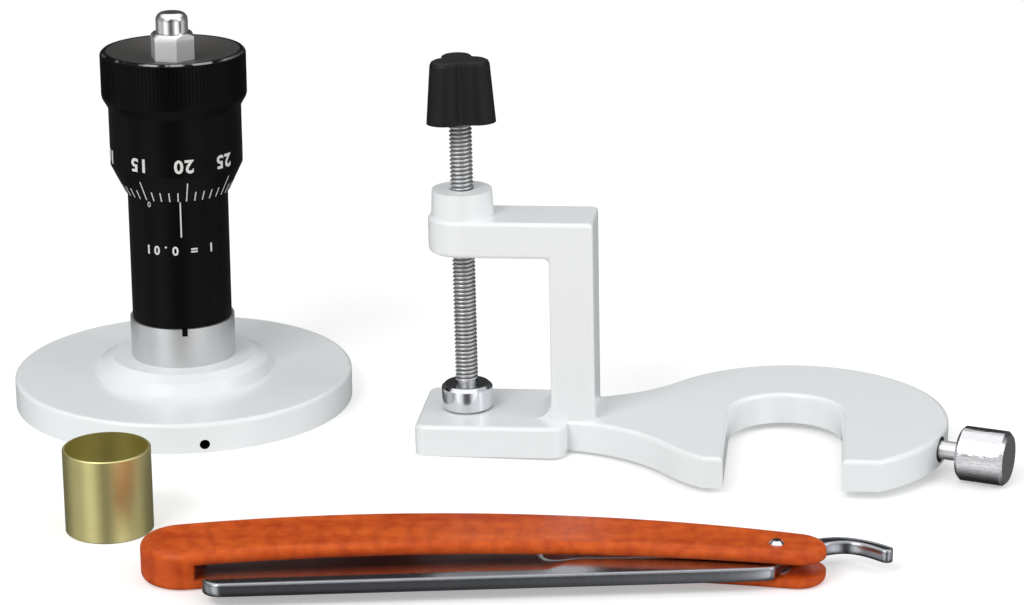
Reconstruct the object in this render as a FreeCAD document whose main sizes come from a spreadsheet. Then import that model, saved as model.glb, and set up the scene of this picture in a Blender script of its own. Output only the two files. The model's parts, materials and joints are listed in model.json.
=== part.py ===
import FreeCAD, Part
import math
import os
from types import SimpleNamespace

import Sketcher
from FreeCAD import Placement, Rotation, Vector

# Hand microtome with its table clamp, specimen tube and folding razor, in millimetres.
# The four items lie side by side, the microtome upside down on its cutting table. The origin
# is the middle of their common footprint, +Z points up and the razor lies along X in front.
doc = FreeCAD.newDocument("HandMicrotome")

# Driving dimensions: name, value, what it sets
SIZES = (
    ("unit_x", -79.4, "microtome, place of its axis along X"),
    ("unit_y", 45.7, "microtome, place of its axis along Y"),
    ("overrun", 1.0, "how far a cut runs past the material"),
    ("table_radius", 42.5, "cutting table, outside radius"),
    ("table_thickness", 7.5, "cutting table, thickness at the rim"),
    ("table_round", 1.0, "cutting table, rounding of its rim"),
    ("hub_radius", 22.5, "raised boss round the barrel, radius at its foot"),
    ("hub_height", 4.2, "raised boss, height over the table"),
    ("hub_slope", 4.5, "raised boss, how far its side draws in"),
    ("hub_knee_in", 1.35, "raised boss, how far in its slope flattens"),
    ("hub_knee_rise", 2.73, "raised boss, height over the table where its slope flattens"),
    ("bore_radius", 10.1, "barrel, bore radius"),
    ("stem_radius", 12.6, "barrel, outside radius inside the table"),
    ("collar_radius", 13.1, "barrel, outside radius of the bare collar"),
    ("collar_top", 21.8, "barrel, height of the collar's shoulder"),
    ("neck_radius", 11.6, "barrel, outside radius under the sleeve"),
    ("sleeve_radius", 12.45, "graduated sleeve, outside radius"),
    ("sleeve_play", 0.05, "gap between barrel and sleeve"),
    ("index_turn", -81.1, "direction of the index line, degrees from X"),
    ("key_width", 1.4, "sleeve key, width"),
    ("key_depth", 1.4, "sleeve key, depth into the collar"),
    ("key_height", 1.8, "sleeve key, height"),
    ("nut_length", 12.0, "feed nut, length inside the barrel"),
    ("nut_flange", 1.5, "feed nut, thickness of its flange"),
    ("rim_hole_turn", -77.4, "direction of the set screw's hole, degrees from X"),
    ("rim_hole_level", 2.1, "set screw's hole, height of its axis over the cutting face"),
    ("rim_hole_radius", 1.25, "set screw's hole, radius"),
    ("grub_length", 10.0, "set screw, length"),
    ("grub_play", 0.05, "gap round the set screw"),
    ("grub_socket", 0.65, "set screw, half width of its hexagon socket"),
    ("grub_socket_depth", 2.0, "set screw, depth of its hexagon socket"),
    ("well_depth", 22.0, "specimen well, depth at rest"),
    ("piston_length", 14.0, "specimen piston, length"),
    ("piston_play", 0.06, "gap between piston and bore"),
    ("piston_dish", 5.0, "piston, depth of the recess for its screw"),
    ("dish_radius", 6.0, "piston, radius of that recess"),
    ("journal_radius", 3.0, "feed screw, radius of the journal and of the stud"),
    ("journal_play", 0.06, "running gap round the journal and at its ends"),
    ("feed_radius", 4.0, "feed screw, thread radius"),
    ("feed_play", 0.06, "gap between feed screw and nut"),
    ("feed_travel", 12.0, "feed of the piston, thirty turns"),
    ("end_gap", 1.0, "gap left over the feed nut at full feed"),
    ("head_radius", 5.2, "piston screw, head radius"),
    ("head_height", 2.6, "piston screw, head height"),
    ("shank_radius", 1.5, "piston screw, shank radius"),
    ("shank_length", 7.0, "piston screw, shank length"),
    ("thimble_foot", 54.7, "thimble, height of its lower edge"),
    ("thimble_play", 0.15, "gap between sleeve and thimble"),
    ("thimble_lip", 0.35, "thimble, wall at its lower edge"),
    ("cone_top", 61.7, "thimble, height where its cone ends"),
    ("thimble_radius", 16.35, "thimble, outside radius"),
    ("thimble_top", 76.1, "thimble, height where the knob begins"),
    ("spigot_radius", 14.8, "thimble, radius of its spigot in the knob"),
    ("spigot_play", 0.05, "gap round the spigot"),
    ("knob_radius", 17.75, "feed knob, outside radius"),
    ("knob_top", 90.1, "feed knob, height of its rim"),
    ("knob_foot_height", 2.5, "feed knob, height of the bevel at its foot"),
    ("knob_bevel", 0.5, "feed knob, bevel of the upper edge"),
    ("knob_rim", 1.0, "feed knob, flat width of its upper rim"),
    ("knob_dish", 2.2, "feed knob, depth of the dished top"),
    ("knob_seat", 7.0, "feed knob, radius of the cap nut's seat"),
    ("knob_web", 3.4, "feed knob, thickness under the seat"),
    ("cap_flats", 4.85, "cap nut, half the width across flats"),
    ("cap_turn", -73.4, "cap nut, direction of one corner, degrees from X"),
    ("cap_hexagon", 6.5, "cap nut, height of the hexagon"),
    ("cap_bevel", 0.8, "cap nut, bevel of the hexagon's upper corners"),
    ("cap_dome", 3.95, "cap nut, radius of the dome"),
    ("cap_height", 11.5, "cap nut, whole height"),
    ("cap_round", 1.9, "cap nut, rounding of the dome"),
    ("cap_wall", 1.6, "cap nut, wall over its blind hole"),
    ("cap_play", 0.05, "gap round the stud in the cap nut and the knob"),
    ("clamp_x", 70.0, "table clamp, place of the slot's centre along X"),
    ("clamp_y", 6.6, "table clamp, place of the slot's centre along Y"),
    ("clamp_turn", -6.6, "table clamp, turn about Z in degrees"),
    ("ring_radius", 37.0, "clamp ring, outside radius"),
    ("ring_shift", 2.0, "clamp ring, how far it is thicker at the lock screw"),
    ("ring_thickness", 7.5, "clamp ring, thickness"),
    ("slot_play", 0.6, "clamp ring, gap between its slot and the collar"),
    ("prong_reach", 31.5, "clamp ring, distance of the prongs' flat ends"),
    ("cast_round", 1.1, "clamp, rounding of its cast edges"),
    ("arm_half", 8.3, "clamp arm, half width"),
    ("neck_flare", 38.0, "clamp neck, radius where it meets the ring"),
    ("jaw_reach", 88.5, "clamp jaw, distance of its end"),
    ("jaw_half", 14.5, "clamp jaw, half width"),
    ("jaw_corner", 2.5, "clamp jaw, radius of its corners"),
    ("jaw_shoulder", 4.0, "clamp jaw, radius where it meets the column"),
    ("column_inside", 56.0, "clamp column, distance of its inner face"),
    ("column_width", 10.6, "clamp column, width"),
    ("throat_height", 40.2, "clamp throat, jaw to arm"),
    ("throat_foot", 4.2, "clamp throat, hollow where the column meets the jaw"),
    ("throat_corner", 1.5, "clamp, hollow in its other inner corners"),
    ("arm_height", 8.9, "clamp arm, height"),
    ("boss_height", 6.2, "clamp boss, height over the arm"),
    ("boss_radius", 7.2, "clamp boss, radius at its top"),
    ("boss_draft", 0.5, "clamp boss, how much wider it is at the arm"),
    ("screw_reach", 77.3, "clamp screw, distance of its axis"),
    ("screw_radius", 2.8, "clamp screw, thread radius"),
    ("screw_play", 0.06, "running gap of the clamp screw"),
    ("pad_gap", 0.3, "gap under the pressure pad at rest"),
    ("pad_radius", 6.2, "pressure pad, radius"),
    ("pad_height", 6.0, "pressure pad, height"),
    ("pad_bevel", 0.8, "pressure pad, bevel of its edges"),
    ("pad_floor", 1.4, "pressure pad, thickness under the screw"),
    ("tip_radius", 2.2, "clamp screw, radius of its turned end"),
    ("tip_groove", 0.5, "clamp screw, depth of the groove in its end"),
    ("clip_height", 1.6, "retaining ring, height over the screw's end"),
    ("clip_thickness", 0.8, "retaining ring, thickness"),
    ("clip_radius", 3.0, "retaining ring, outside radius"),
    ("lobe_foot", 79.6, "clamp knob, height of its underside"),
    ("lobe_height", 14.9, "clamp knob, height"),
    ("lobe_turn", 105.0, "clamp knob, direction of one lobe in degrees"),
    ("lobe_offset", 4.6, "clamp knob, distance of a lobe from the axis"),
    ("lobe_radius", 4.3, "clamp knob, radius of a lobe"),
    ("lobe_waist", 5.15, "clamp knob, radius at the middle between lobes"),
    ("lobe_draft", 0.85, "clamp knob, its top's size as a share of its foot's"),
    ("lobe_round", 1.0, "clamp knob, rounding of its top"),
    ("insert_radius", 4.2, "knob insert, outside radius"),
    ("insert_length", 11.0, "knob insert, length"),
    ("lock_turn", -19.0, "lock screw, direction in the clamp in degrees"),
    ("lock_radius", 2.4, "lock screw, thread radius"),
    ("lock_play", 0.06, "running gap of the lock screw"),
    ("lock_tip", 0.5, "lock screw, how far its end stays behind the slot"),
    ("lock_neck", 2.2, "lock screw, radius of its neck"),
    ("lock_gap", 4.9, "lock screw, gap between ring and knob"),
    ("lock_knob_radius", 6.45, "lock knob, radius"),
    ("lock_knob_length", 11.5, "lock knob, length"),
    ("lock_knob_bevel", 0.8, "lock knob, bevel of its edges"),
    ("lock_socket", 8.0, "lock knob, depth of the screw inside it"),
    ("tube_x", -86.8, "specimen tube, place along X"),
    ("tube_y", -43.0, "specimen tube, place along Y"),
    ("tube_play", 0.2, "gap between the specimen tube and the barrel's bore"),
    ("tube_wall", 0.6, "specimen tube, wall"),
    ("tube_height", 19.4, "specimen tube, height"),
    ("tube_bevel", 0.2, "specimen tube, bevel of its edges"),
    ("razor_x", 60.8, "razor, place of the pivot along X"),
    ("razor_y", -72.3, "razor, place of the pivot along Y"),
    ("leaf_thickness", 2.5, "razor handle, thickness of a leaf"),
    ("tang_thickness", 2.8, "razor blade, thickness of its back and tang"),
    ("washer_thickness", 0.3, "pivot washer, thickness"),
    ("washer_radius", 3.2, "pivot washer, radius"),
    ("pivot_play", 0.05, "running gap at the razor's pivot"),
    ("handle_end_x", -127.7, "razor handle, place of its closed end's centre along X"),
    ("handle_end_y", 2.5, "razor handle, place of its closed end's centre along Y"),
    ("handle_end_radius", 9.5, "razor handle, radius of its closed end"),
    ("handle_nose_x", 4.3, "razor handle, place of its open end's centre along X"),
    ("handle_nose_radius", 6.5, "razor handle, radius of its open end"),
    ("handle_back", 260.0, "razor handle, radius of its back"),
    ("handle_front", 330.0, "razor handle, radius of its front"),
    ("handle_round", 1.6, "razor handle, rounding of its outer edges"),
    ("handle_web", 12.5, "razor handle, length of the solid closed end"),
    ("blade_length", 123.0, "razor blade, pivot to point"),
    ("blade_slope", 4.2, "razor blade, angle of its back in degrees"),
    ("blade_back", 7.4, "razor blade, distance of its back line from the pivot"),
    ("blade_width", 18.5, "razor blade, back to edge"),
    ("blade_heel", 46.0, "razor blade, pivot to heel"),
    ("hollow_run_out", 12.0, "razor blade, length in which its hollow fades out at the heel"),
    ("blade_round", 4.0, "razor blade, rounding of its point"),
    ("edge_thickness", 0.4, "razor blade, thickness of the edge"),
    ("spine_width", 3.5, "razor blade, width of its flat back"),
    ("tang_half", 4.6, "razor blade, half width of the tang at the pivot"),
    ("tang_reach", 14.0, "razor blade, pivot to where the tang runs into the straight back"),
    ("heel_radius", 4.0, "razor blade, hollow where the heel meets the tang"),
    ("tail_reach", 24.2, "razor blade, pivot to the tail's tip"),
    ("tail_tip_rise", 3.6, "razor blade, how far the tail's tip lies back"),
    ("tail_crest_reach", 16.0, "razor blade, pivot to the tail's crest"),
    ("tail_rise", 8.6, "razor blade, how far the tail bows back"),
    ("tail_half", 1.4, "razor blade, half width of the tail"),
    ("pin_radius", 1.2, "pivot pin, radius"),
    ("pin_head", 1.65, "pivot pin, head radius"),
    ("pin_dome", 0.7, "pivot pin, head height"),
    ("pin_bevel", 0.7, "pivot pin, bevel of its head"),
)

sheet = doc.addObject("Spreadsheet::Sheet", "Sizes")
for row, (alias, number, note) in enumerate(SIZES, start=1):
    sheet.set(f"A{row}", alias)
    sheet.set(f"B{row}", str(number))
    sheet.setAlias(f"B{row}", alias)
    sheet.set(f"C{row}", note)
doc.recompute()


class Size:
    """A length or angle that knows the formula behind it, to bind an object to the sheet."""

    def __init__(self, number, formula):
        self.number = number
        self.formula = formula

    def join(self, other, sign, number, swap=False):
        text = other.formula if isinstance(other, Size) else repr(other)
        first, second = (text, self.formula) if swap else (self.formula, text)
        return Size(number, f"({first} {sign} {second})")

    def __float__(self):
        return self.number

    def __add__(self, other):
        return self.join(other, "+", self.number + float(other))

    def __radd__(self, other):
        return self.join(other, "+", float(other) + self.number, swap=True)

    def __sub__(self, other):
        return self.join(other, "-", self.number - float(other))

    def __rsub__(self, other):
        return self.join(other, "-", float(other) - self.number, swap=True)

    def __mul__(self, other):
        return self.join(other, "*", self.number * float(other))

    def __rmul__(self, other):
        return self.join(other, "*", float(other) * self.number, swap=True)

    def __truediv__(self, other):
        return self.join(other, "/", self.number / float(other))

    def __neg__(self):
        return Size(-self.number, f"(-{self.formula})")


s = SimpleNamespace(**{alias: Size(float(getattr(sheet, alias)), "Sizes." + alias) for alias, _, _ in SIZES})
ZERO = Size(0.0, "0")

# Levels and radii that several pieces share
hub_top = s.table_thickness + s.hub_height
knob_seat_level = s.knob_top - s.knob_dish
knob_underside = knob_seat_level - s.knob_web
nut_top = knob_underside - s.feed_travel - s.end_gap
barrel_top = nut_top - s.nut_flange
piston_top = s.well_depth + s.piston_length
dish_floor = s.well_depth + s.piston_dish
thimble_bore = s.sleeve_radius + s.thimble_play
slot_half = s.collar_radius + s.slot_play
arm_underside = s.ring_thickness + s.throat_height
arm_top = arm_underside + s.arm_height
boss_top = arm_top + s.boss_height
column_outside = s.column_inside - s.column_width
arm_root = s.column_inside - s.column_width / 2
pad_foot = s.ring_thickness + s.pad_gap
pad_top = pad_foot + s.pad_height
screw_tip = pad_foot + s.pad_floor
clip_level = screw_tip + s.clip_height
lock_level = s.ring_thickness / 2
leaf_gap = s.tang_thickness + 2 * s.washer_thickness + 2 * s.pivot_play
handle_thickness = 2 * s.leaf_thickness + leaf_gap
tang_level = s.leaf_thickness + s.washer_thickness + s.pivot_play


def bind(obj, prop, size):
    """Tie one property of an object to the sheet."""
    if isinstance(size, Size):
        obj.setExpression(prop, size.formula)
    else:
        setattr(obj, prop, size)


def new_body(label):
    body = doc.addObject("PartDesign::Body", label)
    body.Label = label
    return body


def plane(body, role="XY_Plane"):
    return next(item for item in body.Origin.OriginFeatures if item.Role == role)


def new_sketch(body, name, role="XY_Plane", level=None):
    """A sketch on one of the body's own planes, or parallel to it at a level."""
    sketch = body.newObject("Sketcher::SketchObject", name)
    sketch.AttachmentSupport = [(plane(body, role), "")]
    sketch.MapMode = "FlatFace"
    if level is not None:
        sketch.setExpression("AttachmentOffset.Base.z", level.formula)
    return sketch


def pin_point(sketch, geometry, end, x, y):
    """Fix one point of a sketch at sizes from the sheet."""
    for kind, size in (("DistanceX", x), ("DistanceY", y)):
        size = size if isinstance(size, Size) else Size(float(size), repr(float(size)))
        index = sketch.addConstraint(Sketcher.Constraint(kind, -1, 1, geometry, end, size.number))
        sketch.setExpression(f"Constraints[{index}]", size.formula)


def polygon(sketch, points):
    """A closed outline through corner points."""
    first = sketch.GeometryCount
    flat = [Vector(float(x), float(y), 0) for x, y in points]
    for start, end in zip(flat, flat[1:] + flat[:1]):
        sketch.addGeometry(Part.LineSegment(start, end), False)
    for step, (x, y) in enumerate(points):
        last = first + (step - 1) % len(points)
        sketch.addConstraint(Sketcher.Constraint("Coincident", last, 2, first + step, 1))
        pin_point(sketch, first + step, 1, x, y)


def about_z(radius, degrees):
    return Rotation(Vector(0, 0, 1), degrees).multVec(Vector(radius, 0, 0))


def hexagon(sketch, half_flats):
    """A regular hexagon round the origin, with one corner along X."""
    corner = half_flats / math.cos(math.radians(30))
    spokes = [about_z(1, 60 * step) for step in range(6)]
    polygon(sketch, [(corner * round(ray.x, 6), corner * round(ray.y, 6)) for ray in spokes])
    return corner


def circle(sketch, x, y, radius):
    ring = Part.Circle(Vector(float(x), float(y), 0), Vector(0, 0, 1), float(radius))
    index = sketch.addGeometry(ring, False)
    pin_point(sketch, index, 3, x, y)
    row = sketch.addConstraint(Sketcher.Constraint("Radius", index, float(radius)))
    sketch.setExpression(f"Constraints[{row}]", radius.formula)


def revolve(body, name, profile, kind="PartDesign::Revolution"):
    """Turn a profile of (radius, height) corners about Z."""
    sketch = new_sketch(body, name + "_profile", "XZ_Plane")
    polygon(sketch, profile)
    feature = body.newObject(kind, name)
    feature.Profile = sketch
    feature.ReferenceAxis = (sketch, ["V_Axis"])
    feature.Angle = 360
    return feature


def pad(body, sketch, name, height):
    feature = body.newObject("PartDesign::Pad", name)
    feature.Profile = sketch
    bind(feature, "Length", height)
    return feature


def pocket(body, sketch, name, height):
    """Cut upwards from the sketch."""
    feature = body.newObject("PartDesign::Pocket", name)
    feature.Profile = sketch
    feature.Reversed = True
    bind(feature, "Length", height)
    return feature


def bore(body, name, radius, length, place):
    """Cut a round hole along the Z of a placement."""
    feature = body.newObject("PartDesign::SubtractiveCylinder", name)
    feature.AttachmentSupport = [(plane(body), "")]
    feature.MapMode = "FlatFace"
    feature.AttachmentOffset = place
    bind(feature, "Radius", radius)
    bind(feature, "Height", length)
    return feature


def dress(body, name, base, radius, chosen, kind="PartDesign::Fillet"):
    """Round or bevel the edges of the last feature that pass a test."""
    doc.recompute()
    names = [f"Edge{i}" for i, edge in enumerate(base.Shape.Edges, start=1) if chosen(edge)]
    feature = body.newObject(kind, name)
    feature.Base = (base, names)
    bind(feature, "Size" if kind.endswith("Chamfer") else "Radius", radius)
    return feature


def middle(edge):
    return edge.valueAt((edge.FirstParameter + edge.LastParameter) / 2)


def at_level(edge, level):
    return all(abs(vertex.Z - float(level)) < 0.01 for vertex in edge.Vertexes) and abs(
        middle(edge).z - float(level)) < 0.01


def upright(edge):
    return len(edge.Vertexes) == 2 and edge.Vertexes[0].Point.sub(edge.Vertexes[1].Point).normalize().isEqual(
        Vector(0, 0, math.copysign(1, edge.Vertexes[0].Z - edge.Vertexes[1].Z)), 1e-6)


def spoke(direction, start, level):
    """A placement whose Z runs outwards from the Z axis, at a height."""
    turn = Rotation(Vector(0, 0, 1), float(direction)) * Rotation(Vector(0, 1, 0), 90)
    return Placement(turn.multVec(Vector(0, 0, float(start))) + Vector(0, 0, float(level)), turn)


parts = []

# Cutting table: a painted disc with a raised boss, bored for the barrel and, through the
# rim, for the set screw that holds the barrel
cutting_table = new_body("cutting_table")
seat_radius = s.stem_radius + s.sleeve_play
revolve(cutting_table, "table_disc", [
    (seat_radius, ZERO), (s.table_radius, ZERO), (s.table_radius, s.table_thickness),
    (s.hub_radius, s.table_thickness), (s.hub_radius - s.hub_knee_in, s.table_thickness + s.hub_knee_rise),
    (s.hub_radius - s.hub_slope, hub_top), (seat_radius, hub_top)])
hole = bore(cutting_table, "rim_hole", s.rim_hole_radius, s.table_radius - s.stem_radius + 2 * s.overrun,
            spoke(s.rim_hole_turn, s.stem_radius - s.overrun, s.rim_hole_level))
dress(cutting_table, "rim_round", hole, s.table_round, lambda edge: at_level(edge, s.table_thickness)
            and abs(math.hypot(middle(edge).x, middle(edge).y) - float(s.table_radius)) < 0.01)
parts.append(cutting_table)

# Barrel: a bored steel tube with a stem in the table and a bare collar that the clamp's
# ring grips, notched in its upper shoulder for the sleeve's key
barrel = new_body("barrel")
revolve(barrel, "barrel_tube", [
    (s.bore_radius, ZERO), (s.stem_radius, ZERO), (s.stem_radius, hub_top), (s.collar_radius, hub_top),
    (s.collar_radius, s.collar_top), (s.neck_radius, s.collar_top), (s.neck_radius, barrel_top),
    (s.bore_radius, barrel_top)])
notch = barrel.newObject("PartDesign::SubtractiveBox", "key_notch")
notch.AttachmentSupport = [(plane(barrel), "")]
notch.MapMode = "FlatFace"
index = Rotation(Vector(0, 0, 1), float(s.index_turn))
notch_corner = Vector(float(s.collar_radius - s.key_depth), -float(s.key_width) / 2,
                      float(s.collar_top - s.key_height))
notch.AttachmentOffset = Placement(index.multVec(notch_corner), index)
bind(notch, "Length", s.key_depth * 2)
bind(notch, "Width", s.key_width)
bind(notch, "Height", s.key_height)
parts.append(barrel)

# Sleeve key: the small black block in that notch, which keeps the index line in register
sleeve_key = doc.addObject("Part::Box", "sleeve_key")
bind(sleeve_key, "Length", s.key_depth - s.sleeve_play)
bind(sleeve_key, "Width", s.key_width - 2 * s.sleeve_play)
bind(sleeve_key, "Height", s.key_height - s.sleeve_play)
key_gap = Vector(float(s.sleeve_play), float(s.sleeve_play), float(s.sleeve_play))
sleeve_key.Placement = Placement(index.multVec(notch_corner + key_gap), index)
parts.append(sleeve_key)

# Graduated sleeve: a thin black tube seated on the collar's shoulder
graduated_sleeve = new_body("graduated_sleeve")
revolve(graduated_sleeve, "sleeve_tube", [
    (s.neck_radius + s.sleeve_play, s.collar_top), (s.sleeve_radius, s.collar_top),
    (s.sleeve_radius, barrel_top), (s.neck_radius + s.sleeve_play, barrel_top)])
parts.append(graduated_sleeve)

# Feed nut: a flanged brass bush in the barrel's end that carries the feed screw
feed_nut = new_body("feed_nut")
nut_radius = s.bore_radius - s.sleeve_play
nut_bore = s.feed_radius + s.feed_play
nut_foot = barrel_top - s.nut_length
revolve(feed_nut, "nut_bush", [
    (nut_bore, nut_foot), (nut_radius, nut_foot), (nut_radius, barrel_top), (s.neck_radius, barrel_top),
    (s.neck_radius, nut_top), (nut_bore, nut_top)])
parts.append(feed_nut)

# Table set screw: a socket grub screw deep in the rim's hole, up against the barrel
table_set_screw = new_body("table_set_screw")
grub_radius = s.rim_hole_radius - s.grub_play
grub = pad(table_set_screw, new_sketch(table_set_screw, "grub_section"), "grub_rod", s.grub_length)
circle(grub.Profile[0], 0, 0, grub_radius)
socket_sketch = new_sketch(table_set_screw, "socket_section", level=s.grub_length - s.grub_socket_depth)
hexagon(socket_sketch, s.grub_socket)
pocket(table_set_screw, socket_sketch, "grub_socket_cut", s.grub_socket_depth + s.overrun)
table_set_screw.Placement = spoke(s.rim_hole_turn, seat_radius, s.rim_hole_level)
parts.append(table_set_screw)

# Specimen piston: it slides in the bore and pushes the specimen out of the table's face
specimen_piston = new_body("specimen_piston")
piston_radius = s.bore_radius - s.piston_play
piston_bore = s.journal_radius + s.journal_play
revolve(specimen_piston, "piston_solid", [
    (piston_bore, dish_floor), (s.dish_radius, dish_floor), (s.dish_radius, s.well_depth),
    (piston_radius, s.well_depth), (piston_radius, piston_top), (piston_bore, piston_top)])
parts.append(specimen_piston)

# Piston screw: its head holds the piston on the feed screw's journal, free to turn
piston_screw = new_body("piston_screw")
head_top = dish_floor - s.journal_play
shank_top = head_top + s.shank_length
revolve(piston_screw, "piston_screw_solid", [
    (ZERO, head_top - s.head_height), (s.head_radius, head_top - s.head_height), (s.head_radius, head_top),
    (s.shank_radius, head_top), (s.shank_radius, shank_top), (ZERO, shank_top)])
parts.append(piston_screw)

# Feed screw: thread in the nut, journal in the piston and stud in the cap nut
feed_screw = new_body("feed_screw")
shoulder = piston_top + s.journal_play
stud_top = knob_seat_level + s.cap_height - s.cap_wall - s.end_gap
tapped = s.shank_radius + s.cap_play
revolve(feed_screw, "feed_screw_solid", [
    (tapped, head_top), (s.journal_radius, head_top), (s.journal_radius, shoulder), (s.feed_radius, shoulder),
    (s.feed_radius, knob_underside), (s.journal_radius, knob_underside), (s.journal_radius, stud_top),
    (ZERO, stud_top), (ZERO, shank_top + s.end_gap), (tapped, shank_top + s.end_gap)])
parts.append(feed_screw)

# Thimble: the graduated drum that runs over the sleeve, with a coned lower end
thimble = new_body("thimble")
revolve(thimble, "thimble_drum", [
    (thimble_bore, s.thimble_foot), (thimble_bore + s.thimble_lip, s.thimble_foot),
    (s.thimble_radius, s.cone_top), (s.thimble_radius, s.thimble_top), (s.spigot_radius, s.thimble_top),
    (s.spigot_radius, knob_underside), (thimble_bore, knob_underside)])
parts.append(thimble)

# Feed knob: a cap on the thimble's spigot with a dished top and a bevelled foot
feed_knob = new_body("feed_knob")
revolve(feed_knob, "knob_cap", [
    (s.journal_radius + s.cap_play, knob_underside), (s.spigot_radius + s.spigot_play, knob_underside),
    (s.spigot_radius + s.spigot_play, s.thimble_top), (s.thimble_radius, s.thimble_top),
    (s.knob_radius, s.thimble_top + s.knob_foot_height), (s.knob_radius, s.knob_top - s.knob_bevel),
    (s.knob_radius - s.knob_bevel, s.knob_top), (s.knob_radius - s.knob_bevel - s.knob_rim, s.knob_top),
    (s.knob_seat, knob_seat_level), (s.journal_radius + s.cap_play, knob_seat_level)])
parts.append(feed_knob)

# Acorn nut: a hexagon cap nut with a round-edged dome and a blind hole
acorn_nut = new_body("acorn_nut")
cap_sketch = new_sketch(acorn_nut, "cap_hexagon_section")
corner = hexagon(cap_sketch, s.cap_flats)
pad(acorn_nut, cap_sketch, "cap_block", s.cap_hexagon)
revolve(acorn_nut, "cap_bevel", [
    (corner - s.cap_bevel, s.cap_hexagon), (corner + s.overrun, s.cap_hexagon - s.cap_bevel - s.overrun),
    (corner + s.overrun, s.cap_hexagon + s.overrun), (corner - s.cap_bevel, s.cap_hexagon + s.overrun)],
    "PartDesign::Groove")
dome = revolve(acorn_nut, "cap_dome_solid", [
    (ZERO, s.cap_hexagon / 2), (s.cap_dome, s.cap_hexagon / 2), (s.cap_dome, s.cap_height),
    (ZERO, s.cap_height)])
dress(acorn_nut, "cap_crown", dome, s.cap_round, lambda edge: at_level(edge, s.cap_height)
              and len(edge.Vertexes) == 1)
bore(acorn_nut, "cap_hole", s.journal_radius + s.cap_play, s.cap_height - s.cap_wall, Placement())
cap_rotation = Rotation(Vector(0, 0, 1), float(s.cap_turn))
acorn_nut.Placement = Placement(Vector(0, 0, float(knob_seat_level)), cap_rotation)
parts.append(acorn_nut)

unit_place = Placement(Vector(float(s.unit_x), float(s.unit_y), 0), Rotation())
for piece in parts:
    piece.Placement = unit_place.multiply(piece.Placement)

# Table clamp: every piece of it is modelled in the clamp's own frame, where X runs from the
# jaw to the ring, the slot's centre is the origin and the underside lies at Z = 0. The knob
# of the lock screw is thicker than the ring, so the clamp lies on that knob and on the end
# of its jaw, a little tilted.
lock_wall = s.ring_radius + s.ring_shift
lock_start = lock_wall + s.lock_gap
lock_ray = about_z(1, float(s.lock_turn))
lock_foot_x = float(lock_start + s.lock_knob_bevel) * math.cos(math.radians(float(s.lock_turn)))
lean = math.degrees(math.atan2(float(s.lock_knob_radius - lock_level), float(s.jaw_reach) + lock_foot_x))
clamp_rotation = Rotation(Vector(0, 0, 1), float(s.clamp_turn)) * Rotation(Vector(0, 1, 0), -lean)
clamp_place = Placement(Vector(float(s.clamp_x), float(s.clamp_y),
                               float(s.jaw_reach) * math.sin(math.radians(lean))), clamp_rotation)

# Clamp frame: one painted casting of jaw plate, column, arm with boss, neck and slotted ring
clamp_frame = new_body("clamp_frame")
ring_sketch = new_sketch(clamp_frame, "ring_section")
circle(ring_sketch, s.ring_shift * lock_ray.x, s.ring_shift * lock_ray.y, s.ring_radius)
pad(clamp_frame, ring_sketch, "ring_plate", s.ring_thickness)
neck_sketch = new_sketch(clamp_frame, "neck_section")
polygon(neck_sketch, [(-s.screw_reach, -s.arm_half), (ZERO, -s.arm_half), (ZERO, s.arm_half),
                      (-s.screw_reach, s.arm_half)])
neck = pad(clamp_frame, neck_sketch, "neck_plate", s.ring_thickness)
dress(clamp_frame, "neck_flare_round", neck, s.neck_flare, lambda edge: upright(edge)
      and -float(s.ring_radius) < middle(edge).x < 0 and abs(abs(middle(edge).y) - float(s.arm_half)) < 0.01)
jaw_sketch = new_sketch(clamp_frame, "jaw_section")
jaw_inside = s.column_inside - s.jaw_shoulder - s.sleeve_play
polygon(jaw_sketch, [(-s.jaw_reach, -s.jaw_half), (-jaw_inside, -s.jaw_half), (-jaw_inside, s.jaw_half),
                     (-s.jaw_reach, s.jaw_half)])
jaw = pad(clamp_frame, jaw_sketch, "jaw_plate", s.ring_thickness)
ends = dress(clamp_frame, "jaw_corners", jaw, s.jaw_corner, lambda edge: upright(edge)
             and abs(middle(edge).x + float(s.jaw_reach)) < 0.1)
dress(clamp_frame, "jaw_shoulders", ends, s.jaw_shoulder, lambda edge: upright(edge)
      and abs(middle(edge).x + float(jaw_inside)) < 0.1 and abs(middle(edge).y) > float(s.jaw_half) - 0.1)
slot_sketch = new_sketch(clamp_frame, "slot_section")
circle(slot_sketch, 0, 0, slot_half)
pocket(clamp_frame, slot_sketch, "slot_round", s.ring_thickness)
mouth_sketch = new_sketch(clamp_frame, "mouth_section")
polygon(mouth_sketch, [(-slot_half, ZERO), (-slot_half, -s.ring_radius - s.overrun),
                       (slot_half, -s.ring_radius - s.overrun), (slot_half, ZERO)])
pocket(clamp_frame, mouth_sketch, "slot_mouth", s.ring_thickness)
front_sketch = new_sketch(clamp_frame, "prong_section")
polygon(front_sketch, [(-s.ring_radius, -s.prong_reach), (-s.ring_radius, -s.ring_radius - s.overrun),
                       (s.ring_radius, -s.ring_radius - s.overrun), (s.ring_radius, -s.prong_reach)])
prongs = pocket(clamp_frame, front_sketch, "prong_ends", s.ring_thickness)
dress(clamp_frame, "plate_round", prongs, s.cast_round, lambda edge: at_level(edge, s.ring_thickness))
column_sketch = new_sketch(clamp_frame, "column_section")
polygon(column_sketch, [(-s.column_inside, -s.arm_half), (-column_outside, -s.arm_half),
                        (-column_outside, s.arm_half), (-s.column_inside, s.arm_half)])
column = pad(clamp_frame, column_sketch, "column_block", arm_top)
edges = dress(clamp_frame, "column_round", column, s.cast_round, lambda edge: upright(edge)
              and middle(edge).z > float(s.ring_thickness) and abs(abs(middle(edge).y) - float(s.arm_half)) < 0.01)
arm_sketch = new_sketch(clamp_frame, "arm_section", level=arm_underside)
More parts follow.
